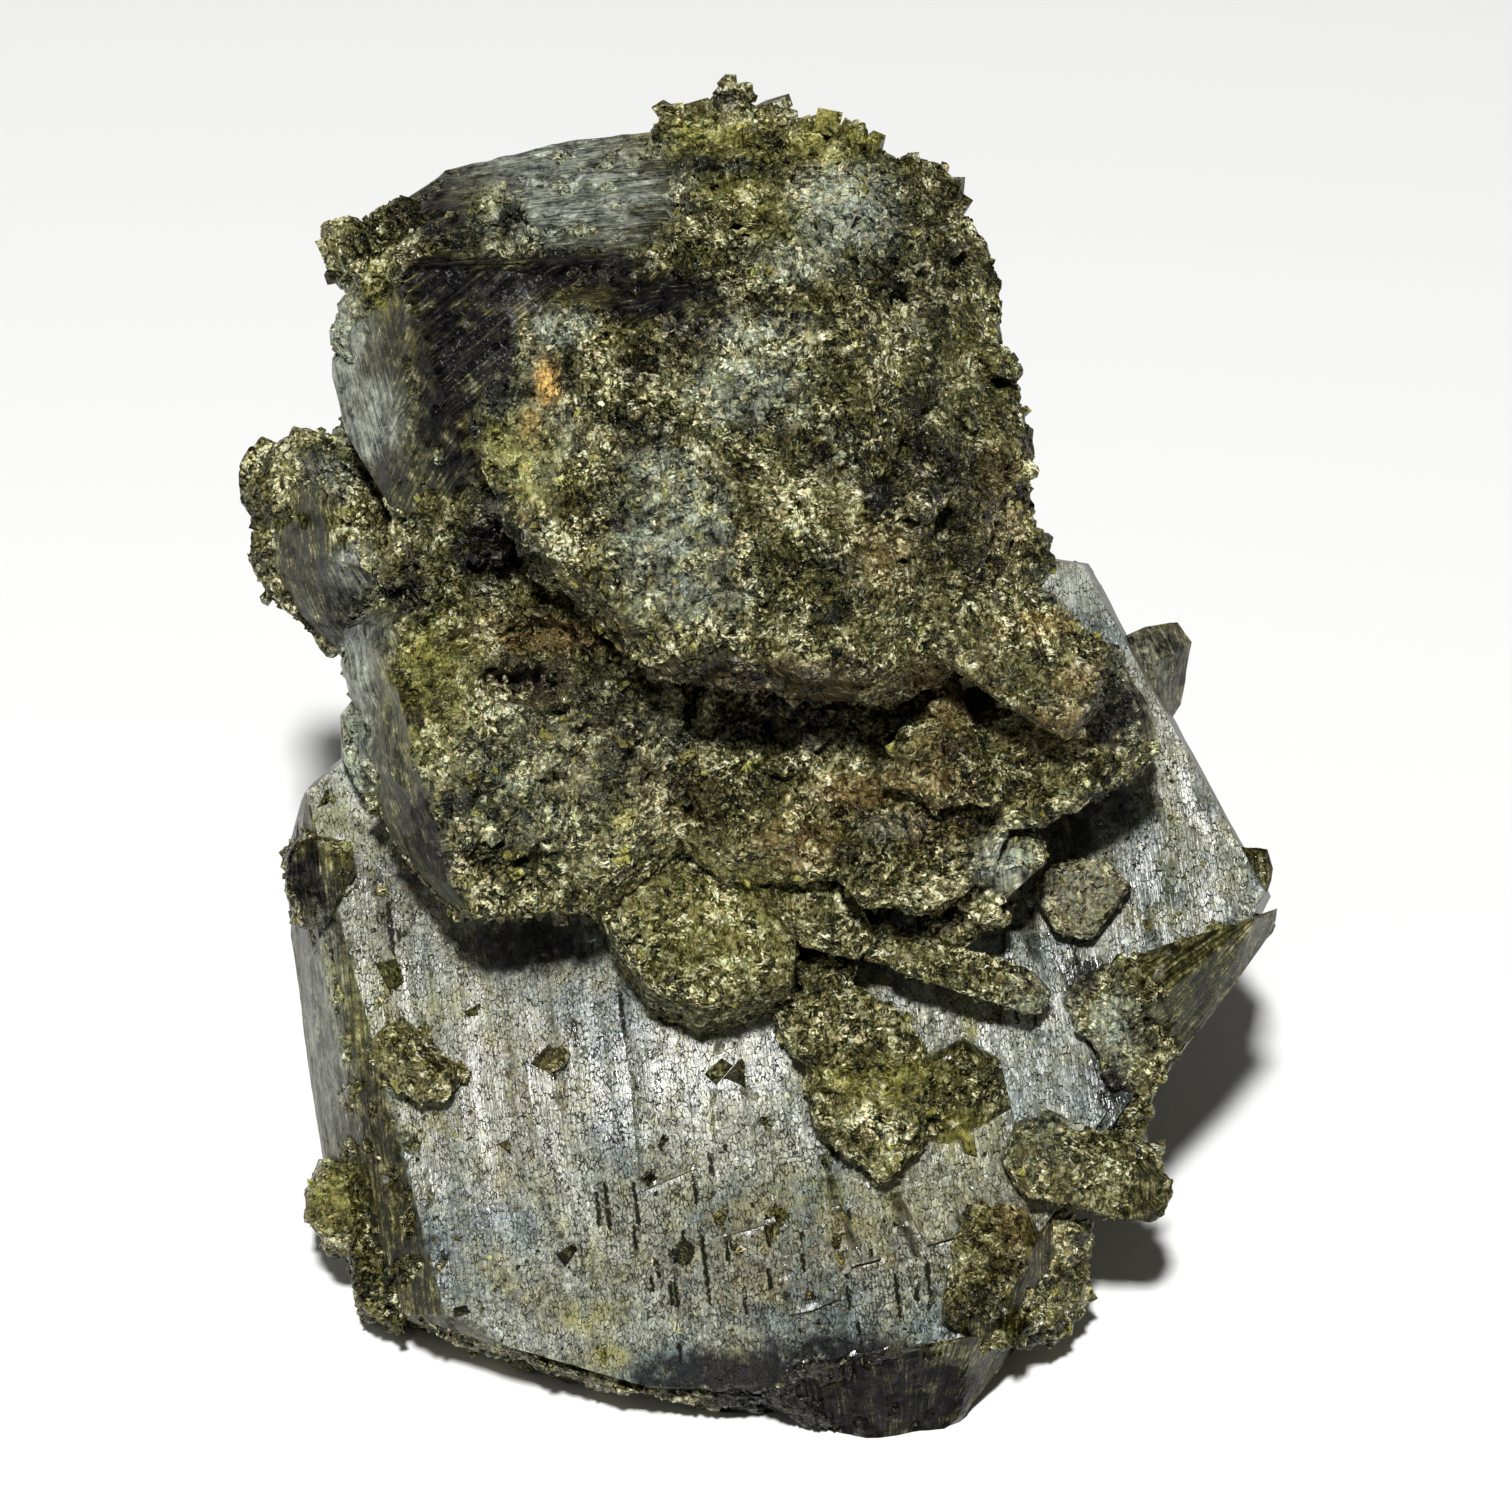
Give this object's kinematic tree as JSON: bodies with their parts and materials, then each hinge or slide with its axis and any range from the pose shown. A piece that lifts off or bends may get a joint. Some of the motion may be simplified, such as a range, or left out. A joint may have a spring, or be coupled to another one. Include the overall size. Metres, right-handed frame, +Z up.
{
  "type": "epidote crystal cluster",
  "caption": "Stout cluster of intergrown epidote crystals: a broad striated tabular crystal under a crusted blocky crown, standing on a flat broken foot. A mineral specimen for display.",
  "frame": {"origin": "middle of the bounding box's base, on the flat broken face the cluster stands on", "axes": "+Z up, away from the foot; -Y is the front, where the broad striated face looks out and up; +X is to the right as seen from the front"},
  "size_m": [0.0706, 0.0654, 0.0711],
  "materials": {
    "epidote": "crusted, with glossy striated crystal faces"
  },
  "bodies": {
    "root": {"epidote_cluster": "epidote"}
  },
  "joints": []
}
